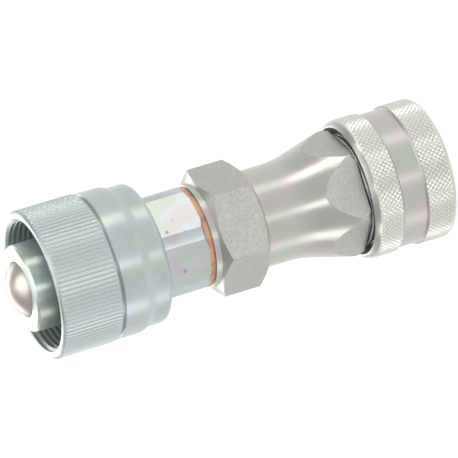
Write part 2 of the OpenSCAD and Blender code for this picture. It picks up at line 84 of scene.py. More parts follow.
class Wire:
    """An output of a finish's node tree; arithmetic on it adds Math nodes."""

    def __init__(self, tree: "Tree", socket: bpy.types.NodeSocket) -> None:
        """Keeps the tree and the socket."""
        self.tree = tree
        self.socket = socket

    def _math(self, operation: str, *values: "Wire | float") -> "Wire":
        """Adds one Math node on these values."""
        return self.tree.node("ShaderNodeMath", {"operation": operation}, dict(enumerate(values)))

    def __add__(self, other: "Wire | float") -> "Wire":
        """Sum."""
        return self._math("ADD", self, other)

    def __radd__(self, other: float) -> "Wire":
        """Sum, from the right."""
        return self._math("ADD", other, self)

    def __sub__(self, other: "Wire | float") -> "Wire":
        """Difference."""
        return self._math("SUBTRACT", self, other)

    def __rsub__(self, other: float) -> "Wire":
        """Difference, from the right."""
        return self._math("SUBTRACT", other, self)

    def __mul__(self, other: "Wire | float") -> "Wire":
        """Product."""
        return self._math("MULTIPLY", self, other)

    def __rmul__(self, other: float) -> "Wire":
        """Product, from the right."""
        return self._math("MULTIPLY", other, self)

    def __truediv__(self, other: "Wire | float") -> "Wire":
        """Quotient."""
        return self._math("DIVIDE", self, other)

    def __abs__(self) -> "Wire":
        """Size without sign."""
        return self._math("ABSOLUTE", self)

    def largest(self, other: "Wire | float") -> "Wire":
        """The larger of two values."""
        return self._math("MAXIMUM", self, other)


class Tree:
    """The node tree of one finish."""

    def __init__(self, name: str) -> None:
        """Starts an empty material of that name."""
        self.material = bpy.data.materials.new(name)
        self.material.use_nodes = True
        self.material.node_tree.nodes.clear()

    def node(self, kind: str, settings: dict | None = None, inputs: dict | None = None,
             output: int | str = 0) -> Wire:
        """Adds any node.

        Args:
            kind: Type of the node.
            settings: Its own settings, set first; "stops" fills a colour ramp.
            inputs: Values or wires by the socket's name or number.
            output: Which output the wire leaves by.

        Returns:
            A wire on that output.
        """
        made = self.material.node_tree.nodes.new(kind)
        for key, value in (settings or {}).items():
            if key == "stops":
                self._fill_ramp(made.color_ramp, value)
            else:
                setattr(made, key, value)
        for key, value in (inputs or {}).items():
            socket = made.inputs[key]
            if isinstance(value, Wire):
                self.material.node_tree.links.new(value.socket, socket)
            else:
                socket.default_value = self._fitted(socket, value)
        return Wire(self, made.outputs[output])

    @staticmethod
    def _fill_ramp(ramp: bpy.types.ColorRamp, stops: Sequence[tuple[float, Colour]]) -> None:
        """Gives a colour ramp its stops."""
        while len(ramp.elements) < len(stops):
            ramp.elements.new(1.0)
        for element, (place, colour) in zip(ramp.elements, stops):
            element.position = place
            element.color = (*colour, 1.0)

    @staticmethod
    def _fitted(socket: bpy.types.NodeSocket, value: float | Colour) -> float | tuple:
        """Adds the alpha that a colour socket wants."""
        if socket.type == "RGBA" and len(value) == 3:
            return (*value, 1.0)
        return value

    def place(self) -> Wire:
        """Position on the piece, in millimetres."""
        point = self.node("ShaderNodeTexCoord", output="Object")
        return self.node("ShaderNodeVectorMath", {"operation": "SCALE"}, {0: point, "Scale": 1000.0})

    def parts(self, vector: Wire) -> tuple[Wire, Wire, Wire]:
        """The three parts of a vector."""
        split = self.node("ShaderNodeSeparateXYZ", inputs={0: vector})
        node = split.socket.node
        return tuple(Wire(self, node.outputs[i]) for i in range(3))

    def vector(self, x: Wire | float, y: Wire | float, z: Wire | float) -> Wire:
        """A vector from three parts."""
        return self.node("ShaderNodeCombineXYZ", inputs={0: x, 1: y, 2: z})

    def stretched(self, vector: Wire, scale: Colour) -> Wire:
        """A vector with each part scaled."""
        return self.node("ShaderNodeVectorMath", {"operation": "MULTIPLY"}, {0: vector, 1: scale})

    def noise(self, vector: Wire, scale: float, detail: float = 2.0, rough: float = 0.5) -> Wire:
        """Cloudy noise from 0 to 1."""
        return self.node("ShaderNodeTexNoise", {}, {
            "Vector": vector, "Scale": scale, "Detail": detail, "Roughness": rough})

    def cells(self, vector: Wire, scale: float, output: str = "Distance") -> Wire:
        """Cell noise: distance to the nearest point, or that cell's random colour."""
        return self.node("ShaderNodeTexVoronoi", {}, {"Vector": vector, "Scale": scale}, output)

    def smooth(self, value: Wire, low: float, high: float) -> Wire:
        """A soft step from 0 at low to 1 at high; high may be the lower."""
        return self.node("ShaderNodeMapRange", {"interpolation_type": "SMOOTHSTEP"}, {
            "Value": value, "From Min": low, "From Max": high})

    def mix(self, under: Wire | Colour, over: Wire | Colour, share: Wire | float) -> Wire:
        """Mixes two colours."""
        return self.node("ShaderNodeMix", {"data_type": "RGBA"}, {0: share, 6: under, 7: over}, 2)

    def bump(self, height: Wire, depth: float, strength: float = 1.0) -> Wire:
        """A normal from a height map.

        Args:
            height: Height from 0 to 1.
            depth: Height in millimetres that 1 stands for.
            strength: Share of the effect.

        Returns:
            The normal.
        """
        return self.node("ShaderNodeBump", {}, {
            "Height": height, "Distance": depth * MM, "Strength": strength})

    def finish(self, **sockets: "Wire | float | Colour") -> bpy.types.Material:
        """Ends the tree in a Principled shader.

        Args:
            **sockets: Values or wires by the socket's name with _ for spaces.

        Returns:
            The material.
        """
        shader = self.node("ShaderNodeBsdfPrincipled", {}, {
            key.replace("_", " "): value for key, value in sockets.items()})
        self.node_output(shader)
        return self.material

    def node_output(self, shader: Wire) -> None:
        """Links a shader to the material's output."""
        out = self.material.node_tree.nodes.new("ShaderNodeOutputMaterial")
        self.material.node_tree.links.new(shader.socket, out.inputs["Surface"])


# ---------------------------------------------------------------- finishes


class Finish(ABC):
    """A finish that can be put on a piece."""

    name: str

    @abstractmethod
    def material(self) -> bpy.types.Material:
        """Makes the material."""


@dataclass(frozen=True)
class Hexagon:
    """The flats of a hexagonal part: size across flats, turn in degrees, heights, style."""

    across: float
    turn: float
    low: float
    high: float
    style: FlatStyle

    def mask(self, tree: Tree) -> Wire:
        """1 on the flats, 0 elsewhere."""
        x, y, z = tree.parts(tree.place())
        reach: Wire | None = None
        for side in range(3):
            angle = math.radians(self.turn + 30 + 60 * side)
            along = abs(x * math.cos(angle) + y * math.sin(angle))
            reach = along if reach is None else reach.largest(along)
        half = self.across / 2
        on_flat = tree.smooth(reach, half - 0.05, half - 0.02)
        return on_flat * tree.smooth(z, self.low - 0.01, self.low) * tree.smooth(z, self.high + 0.01, self.high)


@dataclass(frozen=True)
class Knurl:
    """A knurled stretch: radius at its tips, depth, heights, and the gain of the painted highlight that
    brightens it.
    """

    tip: float
    depth: float
    low: float
    high: float
    gain: float

    def masks(self, tree: Tree) -> tuple[Wire, Wire]:
        """Where the knurl lies.

        Args:
            tree: The finish's tree.

        Returns:
            1 all over the knurled stretch, where the painted highlight goes, and 1 at the bottom of its grooves,
            which keep painted shade.
        """
        x, y, z = tree.parts(tree.place())
        radius = tree.node("ShaderNodeVectorMath", {"operation": "LENGTH"}, {
            0: tree.vector(x, y, 0.0)}, "Value")
        stretch = tree.smooth(z, self.low, self.low + 0.1) * tree.smooth(z, self.high, self.high - 0.1)
        painted_highlight_mask = stretch * tree.smooth(radius, self.tip - 2.0 * self.depth, self.tip - 1.5 * self.depth)
        return painted_highlight_mask, stretch * tree.smooth(radius, self.tip - 0.15 * self.depth, self.tip - self.depth)


@dataclass(frozen=True)
class ZincPlate(Finish):
    """Bright zinc plating on turned steel, with a thin rainbow film."""

    name: str
    colour: Colour
    film_a: Colour = (0.58, 0.50, 0.52)
    film_b: Colour = (0.50, 0.55, 0.46)
    bevel: Colour = (0.62, 0.64, 0.46)
    bevel_share: float = 0.0
    rough: float = 0.36
    metallic: float = 0.85
    hexagon: Hexagon | None = None
    knurls: tuple[Knurl, ...] = ()

    def material(self) -> bpy.types.Material:
        """Makes the material."""
        tree = Tree(self.name)
        place = tree.place()
        clouds = tree.noise(place, 0.10, 3.0)
        drift = tree.noise(tree.stretched(place, (1.0, 1.0, 0.5)), 0.16, 2.0)
        speck = tree.noise(place, 2.6, 3.0, 0.65)
        rings = tree.noise(tree.stretched(place, (0.25, 0.25, 4.0)), 1.2, 2.0, 0.6)
        slope = abs(tree.parts(tree.node("ShaderNodeNewGeometry", output="Normal"))[2])
        tone = tree.mix(self.colour, self.film_a, tree.smooth(clouds, 0.45, 0.62) * 0.8)
        tone = tree.mix(tone, self.film_b, tree.smooth(drift, 0.48, 0.64) * 0.75)
        edge = tree.smooth(slope, 0.25, 0.5) * tree.smooth(slope, 0.97, 0.85)
        tone = tree.mix(tone, self.bevel, edge * self.bevel_share)
        dull = tuple(0.62 * part for part in self.colour)
        tone = tree.mix(tone, dull, tree.smooth(speck, 0.55, 0.8) * 0.35)
        height = rings * 0.5 + speck * 0.5
        rough = self.rough - 0.06 + 0.12 * speck
        depth = 0.012
        if self.hexagon is not None:
            tone, rough, height, depth = self._flats(tree, tone, rough, height)
        for knurl in self.knurls:
            painted_highlight_mask, groove = knurl.masks(tree)
            # Painted highlight: the knurled stretch is lightened towards gain times the plating colour.
            bright = tuple(min(0.95, knurl.gain * part) for part in self.colour)
            tone = tree.mix(tone, bright, painted_highlight_mask * 0.9)
            # Painted shade: the groove bottoms go partly back to the plain colour, darker than the lit tips;
            # they also get rougher.
            tone = tree.mix(tone, self.colour, groove * 0.35)
            rough = rough + groove * 0.10
        return tree.finish(
            Base_Color=tone, Metallic=self.metallic, Roughness=rough, Anisotropic=0.85,
            Anisotropic_Rotation=0.25, Normal=tree.bump(height, depth, 0.8))

    def _flats(self, tree: Tree, tone: Wire, rough: Wire, height: Wire) -> tuple[Wire, Wire, Wire, float]:
        """Adds what the hexagon's flats show: dull spots, or a pitted skin with scratches.

        Args:
            tree: The finish's tree.
            tone: Colour so far.
            rough: Roughness so far.
            height: Height so far.

        Returns:
            Colour, roughness, height, and the height's depth in millimetres.
        """
        mask = self.hexagon.mask(tree)
        place = tree.place()
        if self.hexagon.style is FlatStyle.SPOTTED:
            wobble = tree.noise(place, 0.9, 2.0)
            spot_place = tree.stretched(place, (0.30, 0.30, 0.36))
            near = tree.cells(spot_place, 1.0) + (wobble - 0.5) * 0.12
            chosen = tree.parts(tree.cells(spot_place, 1.0, "Color"))[0]
            spot = tree.smooth(near, 0.24, 0.13) * tree.smooth(chosen, 0.45, 0.5) * mask
            tone = tree.mix(tone, (0.34, 0.36, 0.37), spot * 0.75)
            rough = rough + spot * 0.15
            return tone, rough, height, 0.012
        pits = tree.noise(place, 1.9, 5.0, 0.75)
        patches = tree.noise(place, 0.35, 3.0, 0.6)
        scratch = tree.noise(tree.stretched(place, (3.5, 3.5, 0.7)), 1.1, 3.0, 0.6)
        dull = tree.mix((0.66, 0.65, 0.62), (0.50, 0.50, 0.46), tree.smooth(pits, 0.42, 0.62))
        dull = tree.mix(dull, (0.56, 0.60, 0.52), tree.smooth(patches, 0.45, 0.62) * 0.6)
        tone = tree.mix(tone, dull, mask * 0.85)
        pale = tree.smooth(scratch, 0.60, 0.68) * mask
        tone = tree.mix(tone, (0.74, 0.72, 0.68), pale * 0.7)
        rough = rough + mask * 0.16
        return tone, rough, height + pits * mask * 8.0, 0.016


@dataclass(frozen=True)
class TurnedSteel(Finish):
    """Plain turned steel: fine rings round the axis on faces and round the sides."""

    name: str
    colour: Colour
    stain: Colour
    rough: float = 0.3
    ring_depth: float = 0.010

    def material(self) -> bpy.types.Material:
        """Makes the material."""
        tree = Tree(self.name)
        place = tree.place()
        x, y, z = tree.parts(place)
        radius = tree.node("ShaderNodeVectorMath", {"operation": "LENGTH"}, {
            0: tree.vector(x, y, 0.0)}, "Value")
        rings = tree.noise(tree.vector(radius * 6.0, z * 6.0, 0.0), 1.0, 2.0)
        clouds = tree.noise(place, 0.35, 3.0)
        speck = tree.noise(place, 3.0, 3.0, 0.6)
        tone = tree.mix(self.colour, self.stain, tree.smooth(clouds, 0.45, 0.7) * 0.8)
        tone = tree.mix(tone, tuple(0.6 * part for part in self.colour), tree.smooth(speck, 0.6, 0.8) * 0.4)
        return tree.finish(
            Base_Color=tone, Metallic=1.0, Roughness=self.rough + 0.1 * speck,
            Normal=tree.bump(rings, self.ring_depth, 0.7))


@dataclass(frozen=True)
class Copper(Finish):
    """Soft copper, slightly tarnished, with a few bright rubs."""

    name: str = "copper"
    colour: Colour = (0.62, 0.36, 0.23)
    tarnish: Colour = (0.36, 0.20, 0.14)
    bright: Colour = (0.82, 0.56, 0.38)

    def material(self) -> bpy.types.Material:
        """Makes the material."""
        tree = Tree(self.name)
        place = tree.place()
        clouds = tree.noise(place, 0.30, 4.0, 0.6)
        speck = tree.noise(place, 2.5, 4.0, 0.7)
        tone = tree.mix(self.colour, self.tarnish, tree.smooth(clouds, 0.42, 0.62) * 0.7)
        tone = tree.mix(tone, self.bright, tree.smooth(speck, 0.58, 0.72) * 0.5)
        return tree.finish(
            Base_Color=tone, Metallic=1.0, Roughness=0.34 + 0.2 * speck,
            Normal=tree.bump(speck, 0.03, 0.8))


@dataclass(frozen=True)
class Polished(Finish):
    """Ground and polished bearing steel."""

    name: str = "ball_steel"
    colour: Colour = (0.80, 0.81, 0.83)

    def material(self) -> bpy.types.Material:
        """Makes the material."""
        tree = Tree(self.name)
        smear = tree.noise(tree.place(), 1.2, 3.0)
        dull = tuple(0.85 * part for part in self.colour)
        return tree.finish(
            Base_Color=tree.mix(self.colour, dull, smear), Metallic=1.0,
            Roughness=0.06 + 0.1 * smear)


@dataclass(frozen=True)
class DrawnWire(Finish):
    """Drawn or rolled steel, lightly oiled, with fine marks and dark patches."""

    name: str
    colour: Colour
    rough: float = 0.38

    def material(self) -> bpy.types.Material:
        """Makes the material."""
        tree = Tree(self.name)
        place = tree.place()
        marks = tree.noise(place, 4.0, 3.0, 0.7)
        patch = tree.noise(place, 0.6, 3.0)
        dark = tuple(0.5 * part for part in self.colour)
        tone = tree.mix(self.colour, dark, tree.smooth(patch, 0.45, 0.7) * 0.6)
        return tree.finish(
            Base_Color=tone, Metallic=1.0, Roughness=self.rough + 0.12 * marks,
            Normal=tree.bump(marks, 0.008, 0.6))


@dataclass(frozen=True)
class Moulded(Finish):
    """Moulded rubber or plastic with a faint skin."""

    name: str
    colour: Colour
    rough: float
    skin: float = 0.006

    def material(self) -> bpy.types.Material:
        """Makes the material."""
        tree = Tree(self.name)
        place = tree.place()
        grain = tree.noise(place, 5.0, 3.0, 0.6)
        cloud = tree.noise(place, 0.5, 2.0)
        pale = tuple(min(1.0, 1.5 * part + 0.01) for part in self.colour)
        return tree.finish(
            Base_Color=tree.mix(self.colour, pale, tree.smooth(cloud, 0.4, 0.75) * 0.5),
            Roughness=self.rough + 0.1 * grain, Normal=tree.bump(grain, self.skin, 0.7))


# ---------------------------------------------------------------- meshes


class Shell:
    """A closed surface round the axis, built from rings of points."""

    def __init__(self, columns: int) -> None:
        """Starts with no points.

        Args:
            columns: Number of points in a ring.
        """
        self.columns = columns
        self.points: list[tuple[float, float, float]] = []
        self.faces: list[tuple[int, ...]] = []

    def ring(self, radii: float | np.ndarray, height: float | np.ndarray) -> list[int]:
        """Adds a ring.

        Args:
            radii: One radius in millimetres, or one a column.
            height: One height in millimetres, or one a column.

        Returns:
            The ring's point numbers.
        """
        start = len(self.points)
        angles = np.arange(self.columns) * 2 * math.pi / self.columns
        radii = np.broadcast_to(np.asarray(radii, float), self.columns)
        height = np.broadcast_to(np.asarray(height, float), self.columns)
        for angle, r, z in zip(angles, radii, height):
            self.points.append((r * math.cos(angle), r * math.sin(angle), z))
        return list(range(start, start + self.columns))

    def join(self, first: Sequence[int], second: Sequence[int],
             falling: Callable[[int], bool] | None = None) -> None:
        """Joins two rings with faces.

        Args:
            first: The earlier ring.
            second: The later ring.
            falling: Says for a column whether its face is split from the later ring's near
                point; without it the faces stay whole.
        """
        for i in range(self.columns):
            k = (i + 1) % self.columns
            corners = (first[i], first[k], second[k], second[i])
            if falling is None:
                self.faces.append(corners)
            elif falling(i):
                self.faces += [(corners[0], corners[1], corners[3]), (corners[1], corners[2], corners[3])]
            else:
                self.faces += [(corners[0], corners[1], corners[2]), (corners[0], corners[2], corners[3])]

    def piece(self, name: str, crease: float) -> bpy.types.Object:
        """Makes the object.

        Args:
            name: Name of the piece.
            crease: Edges sharper than this many degrees stay sharp.

        Returns:
            The object, in metres.
        """
        mesh = bpy.data.meshes.new(name)
        points = [(x * MM, y * MM, z * MM) for x, y, z in self.points]
        faces = [face for face in self.faces if len(set(face)) == len(face)]
        mesh.from_pydata(points, [], faces)
        mesh.polygons.foreach_set("use_smooth", [True] * len(mesh.polygons))
        mesh.set_sharp_from_angle(angle=math.radians(crease))
        mesh.validate()
        mesh.update()
        made = bpy.data.objects.new(name, mesh)
        bpy.context.scene.collection.objects.link(made)
        return made


def arc(centre: Point, radius: float, start: float, end: float, steps: int) -> list[Point]:
    """Points (r, z) of an arc.

    Args:
        centre: Its centre.
        radius: Its radius.
        start: Angle of the first point in degrees.
        end: Angle of the last point in degrees.
        steps: Number of steps.

    Returns:
        The points.
    """
    angles = [math.radians(start + (end - start) * i / steps) for i in range(steps + 1)]
    return [(centre[0] + radius * math.cos(a), centre[1] + radius * math.sin(a)) for a in angles]


def wear(piece: bpy.types.Object, finish: bpy.types.Material) -> None:
    """Puts a finish on all of a piece."""
    if piece.data.materials:
        for i in range(len(piece.data.materials)):
            piece.material_slots[i].material = finish
    else:
        piece.data.materials.append(finish)


# ---------------------------------------------------------------- sub-assemblies


@dataclass
class SocketSleeve:
    """The pull-back sleeve: two diamond-knurled bands with a plain band between them."""

    low: float
    high: float
    radius: float
    starts: int = 84
    depth: float = 0.26
    tip_share: float = 0.75
    front_band: float = 8.8
    plain_band: float = 6.4
    plain_depth: float = 0.7
    slope: float = 0.6
    front_round: float = 1.6
    rear_round: float = 2.6
    rear_bore: float = 17.4
    lip: float = 0.35
    mouth_bore: float = 15.5
    shoulder: float = 2.9
    ramp_bore: float = 14.37
    land_bore: float = 13.7
    land_z: float = 8.26
    land_end: float = 11.4
    chamber: float = 15.9
    chamber_end: float = 18.8
    steps: int = 8

    @property
    def pitch(self) -> float:
        """Distance round the sleeve between two grooves of one hand."""
        return 2 * math.pi * self.radius / self.starts

    def outline(self) -> tuple[np.ndarray, np.ndarray]:
        """Heights and radii of the plain turned outside."""
        band = self.low + self.front_band
        band_end = band + self.plain_band
        lip = self.rear_bore + self.lip
        drop = self.radius - lip
        rear = (drop**2 + self.rear_round**2) / (2 * drop)
        lip_angle = math.degrees(math.asin(self.rear_round / rear))
        plain = self.radius - self.plain_depth
        points = arc((self.radius - self.front_round, self.low + self.front_round), self.front_round, -90, 0, 16)
        points += [(self.radius, band - self.slope), (plain, band), (plain, band_end),
                   (self.radius, band_end + self.slope)]
        points += arc((self.radius - rear, self.high - self.rear_round), rear, 0, lip_angle, 16)
        radii, heights = np.array(points).T
        return heights, radii

    def relief(self, row: int) -> np.ndarray:
        """Radii of the diamond knurl along one row of its grid."""
        columns = np.arange(self.starts * self.steps)
        half = self.steps / 2
        heights = [1 - np.abs(((columns + sign * row) % self.steps) / half - 1) for sign in (1, -1)]
        raised = np.minimum(np.minimum(*heights), self.tip_share) / self.tip_share
        return self.radius - self.depth * (1 - raised)

    def build(self) -> bpy.types.Object:
        """Builds the sleeve with its knurls cut in."""
        shell = Shell(self.starts * self.steps)
        heights, radii = self.outline()
        band = self.low + self.front_band
        band_end = band + self.plain_band
        step = self.pitch / self.steps
        rings: list[tuple[list[int], int | None]] = []
        for z, r in zip(heights, radii):
            if r < self.radius - self.depth and z < self.low + self.front_round:
                rings.append((shell.ring(r, z), None))
        for start, end in ((rings_end(heights, radii, self), band), (band_end, self.high - 0.5)):
            row = 0
            while start + row * step < end:
                z = start + row * step
                plain = float(np.interp(z, heights, radii))
                rings.append((shell.ring(np.minimum(self.relief(row), plain), z), row))
                row += 1
            if end == band:
                rings.append((shell.ring(self.radius - self.plain_depth, band), None))
        for z, r in zip(heights, radii):
            if z > self.high - 0.5:
                rings.append((shell.ring(r, z), None))
        for r, z in ((self.rear_bore, self.high), (self.rear_bore, self.chamber_end),
                     (self.chamber, self.chamber_end), (self.chamber, self.land_end),
                     (self.land_bore, self.land_end), (self.land_bore, self.land_z),
                     (self.ramp_bore, self.shoulder), (self.mouth_bore, self.shoulder),
                     (self.mouth_bore, self.low)):
            rings.append((shell.ring(r, z), None))
        for (first, row), (second, _) in zip(rings, rings[1:] + rings[:1]):
            shell.join(first, second, None if row is None else self._groove_side(row))
        return shell.piece("sleeve_knurled", 28)

    def _groove_side(self, row: int) -> Callable[[int], bool]:
        """Says how the faces above a row are split, so that the grooves run clean."""
        return lambda column: (column + row + 1) % self.steps == 0

    def dress(self) -> bpy.types.Object:
        """Builds the sleeve, finishes it and puts it on its body."""
        piece = self.build()
        # Gain of the painted highlight on the diamond knurls.
        gain = 1.62
        finish = ZincPlate("zinc_warm_knurled", (0.52, 0.53, 0.48), knurls=(
            Knurl(self.radius, self.depth, self.low + 0.4, self.low + self.front_band - self.slope, gain),
            Knurl(self.radius, self.depth, self.low + self.front_band + self.plain_band + self.slope,
                  self.high - 1.2, gain)))
        wear(piece, finish.material())
        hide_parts("socket_sleeve")
        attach(piece, Body.SLEEVE.value)
        return piece


def rings_end(heights: np.ndarray, radii: np.ndarray, sleeve: SocketSleeve) -> float:
    """Height at which the front rounding reaches the bottom of the knurl."""
    early = heights <= sleeve.low + sleeve.front_round
    return float(np.interp(sleeve.radius - sleeve.depth, radii[early], heights[early]))


@dataclass
class CouplingNut:
    """The coupling nut: straight knurl outside, screw thread inside."""

    low: float
    high: float
    radius: float
    teeth: int = 105
    tooth_steps: int = 6
    knurl_depth: float = 0.32
    knurl_len: float = 16.5
    knurl_back: float = 0.2
    rear_radius: float = 18.8
    shoulder_drop: float = 0.3
    rear_drop: float = 1.15
    rear_round: float = 1.6
    step_at: float = 4.7
    step_len: float = 3.2
    groove_width: float = 1.0
    groove_depth: float = 0.6
    front_bevel: float = 0.7
    bore: float = 14.78
    edge_bevel: float = 0.8
    floor: float = 93.9
    thread_major: float = 18.0
    thread_pitch: float = 1.5
    thread_depth: float = 0.81
    dot_pitch: float = 1.43
    dot_depth: float = 0.05

    def tooth(self) -> np.ndarray:
        """How far each column lies below the teeth's tips, from 0 to 1."""
        one = np.array([0.0, 0.12, 0.75, 1.0, 0.75, 0.12])
        return np.tile(one, self.teeth)

    def outside(self, shell: Shell) -> list[list[int]]:
        """Adds the outside rings, from the rear face's inner edge to the front face."""
        knurl_top = self.high - self.knurl_back
        knurl = knurl_top - self.knurl_len
        shoulder = self.radius - self.shoulder_drop
        rear = (self.rear_drop**2 + self.rear_round**2) / (2 * self.rear_drop)
        angle = math.degrees(math.asin(self.rear_round / rear))
        step = self.low + self.step_at
        plain = [(self.bore + self.edge_bevel, self.low)]
        plain += arc((self.rear_radius - rear, self.low + self.rear_round), rear, -angle, 0, 12)
        for i in range(9):
            ease = (1 - math.cos(math.pi * i / 8)) / 2
            plain.append((self.rear_radius + (shoulder - self.rear_radius) * ease, step + self.step_len * i / 8))
        plain += [(shoulder, knurl - self.groove_width),
                  (shoulder - self.groove_depth, knurl - self.groove_width / 2),
                  (shoulder - 0.3, knurl)]
        rings = [shell.ring(r, z) for r, z in plain]
        below = self.tooth()
        which = np.arange(shell.columns) // self.tooth_steps
        rows = 44
        for i in range(rows + 1):
            z = knurl + (self.high - knurl) * i / rows
            dots = 0.5 - 0.5 * np.cos(2 * np.pi * (z - knurl) / self.dot_pitch + np.pi * (which % 2))
            radii = self.radius - self.knurl_depth * below - self.dot_depth * dots * (1 - below)
            ends = min(self.radius - self.knurl_depth - 0.1 + (z - knurl) * 0.9,
                       self.radius - max(0.0, z - (self.high - self.front_bevel)))
            rings.append(shell.ring(np.minimum(radii, ends), z))
        return rings

    def build(self) -> bpy.types.Object:
        """Builds the nut."""
        shell = Shell(self.teeth * self.tooth_steps)
        rings = self.outside(shell)
        minor = self.thread_major - self.thread_depth
        mouth = shell.ring(self.thread_major, self.high)
        run_out = self.floor + 1.2
        low_ring = shell.ring(minor, run_out)
        count = shell.columns
        phases = (0.0, 0.25, 0.5625, 0.6875)
        profile = (0.0, 0.0, 1.0, 1.0)
        turns = int((self.high - run_out) / self.thread_pitch) + 2
        grid: list[list[int]] = []
        share = np.arange(count) / count
        angles = share * 2 * math.pi
        for turn in range(-1, turns):
            for phase, cut in zip(phases, profile):
                heights = run_out + self.thread_pitch * (turn + phase + share)
                row: list[int] = []
                for i in range(count):
                    z = float(heights[i])
                    if z <= run_out:
                        row.append(low_ring[i])
                    elif z >= self.high:
                        row.append(mouth[i])
                    else:
                        bevel = self.thread_major - (self.high - z)
                        fade = min(1.0, (z - run_out) / 1.5)
                        r = max(minor + self.thread_depth * cut * fade, bevel)
                        shell.points.append((r * math.cos(angles[i]), r * math.sin(angles[i]), z))
                        row.append(len(shell.points) - 1)
                grid.append(row)
        for j in range(len(grid) - 1):
            for i in range(count - 1):
                self._face(shell, grid[j][i], grid[j + 1][i], grid[j + 1][i + 1], grid[j][i + 1])
        for j in range(len(grid) - 5):
            self._face(shell, grid[j][count - 1], grid[j + 1][count - 1], grid[j + 5][0], grid[j + 4][0])
        inside = [shell.ring(r, z) for r, z in (
            (minor, self.floor), (self.bore, self.floor), (self.bore, self.low + self.edge_bevel))]
        for first, second in zip(rings, rings[1:] + [mouth]):
            shell.join(first, second)
        for first, second in zip([low_ring] + inside, inside + [rings[0]]):
            shell.join(first, second)
        return shell.piece("nut_threaded", 28)

    @staticmethod
    def _face(shell: Shell, *corners: int) -> None:
        """Adds a face, or what is left of it where points fall together."""
        kept = [c for i, c in enumerate(corners) if c != corners[i - 1]]
        if len(set(kept)) == len(kept) and len(kept) >= 3:
            shell.faces.append(tuple(kept))

    def dress(self) -> bpy.types.Object:
        """Builds the nut, finishes it and puts it on its body."""
        piece = self.build()
        knurl = self.high - self.knurl_back - self.knurl_len
        # The last Knurl value, 1.15, is the gain of the painted highlight on the straight knurl.
        finish = ZincPlate("zinc_cool_knurled", (0.47, 0.53, 0.52), film_a=(0.52, 0.56, 0.60),
                           knurls=(Knurl(self.radius, self.knurl_depth, knurl, self.high - 0.3, 1.15),))
        wear(piece, finish.material())
        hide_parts("coupling_nut")
        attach(piece, Body.NUT.value)
        return piece


@dataclass
class Spring:
    """A coil spring with a closed turn at each end."""

    node: str
    joint: str
    wire: float
    travel: float
    fixed_high: bool
    turns: float = 4.0
    sides: int = 12
    steps: int = 28

    def centre_line(self, low: float, high: float) -> list[tuple[float, float]]:
        """Turn angle and height of each section.

        Args:
            low: Lowest height of the spring.
            high: Highest height of the spring.

        Returns:
            Pairs of angle in radians and height in millimetres.
        """
        start, end = low + self.wire / 2, high - self.wire / 2
        closed = self.wire
        all_turns = self.turns + 2
        line: list[tuple[float, float]] = []
        for i in range(round(all_turns * self.steps) + 1):
            turn = i / self.steps
            middle = min(max((turn - 1) / self.turns, 0.0), 1.0)
            z = start + closed * (min(turn, 1.0) + max(turn - all_turns + 1, 0.0))
            line.append((turn * 2 * math.pi, z + (end - start - 2 * closed) * middle))
        return line

    def build(self) -> bpy.types.Object:
        """Builds the spring in the space of its node."""
        low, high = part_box(self.node)
        mean = high.x / MM - self.wire / 2
        points: list[tuple[float, float, float]] = []
        for angle, z in self.centre_line(low.z / MM, high.z / MM):
            for side in range(self.sides):
                turn = 2 * math.pi * side / self.sides
                r = mean + self.wire / 2 * math.cos(turn)
                points.append((r * math.cos(angle) * MM, r * math.sin(angle) * MM,
                               (z + self.wire / 2 * math.sin(turn)) * MM))
        rows = len(points) // self.sides
        faces: list[tuple[int, ...]] = [tuple(range(self.sides)),
                                        tuple(reversed(range(len(points) - self.sides, len(points))))]
        for row in range(rows - 1):
            for side in range(self.sides):
                a, b = row * self.sides + side, row * self.sides + (side + 1) % self.sides
                faces.append((b, a, a + self.sides, b + self.sides))
        mesh = bpy.data.meshes.new(f"{self.node}_wound")
        mesh.from_pydata(points, [], faces)
        mesh.polygons.foreach_set("use_smooth", [True] * len(mesh.polygons))
        mesh.set_sharp_from_angle(angle=math.radians(50))
        made = bpy.data.objects.new(mesh.name, mesh)
        bpy.context.scene.collection.objects.link(made)
        return made

    def dress(self, finish: bpy.types.Material) -> bpy.types.Object:
        """Builds the spring, finishes it and puts it on the housing.

        Args:
            finish: Its material.

        Returns:
            The spring.
        """
        piece = self.build()
        wear(piece, finish)
        low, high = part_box(self.node)
        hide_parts(self.node)
        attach(piece, Body.HOUSING.value)
        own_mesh(piece)
        return piece


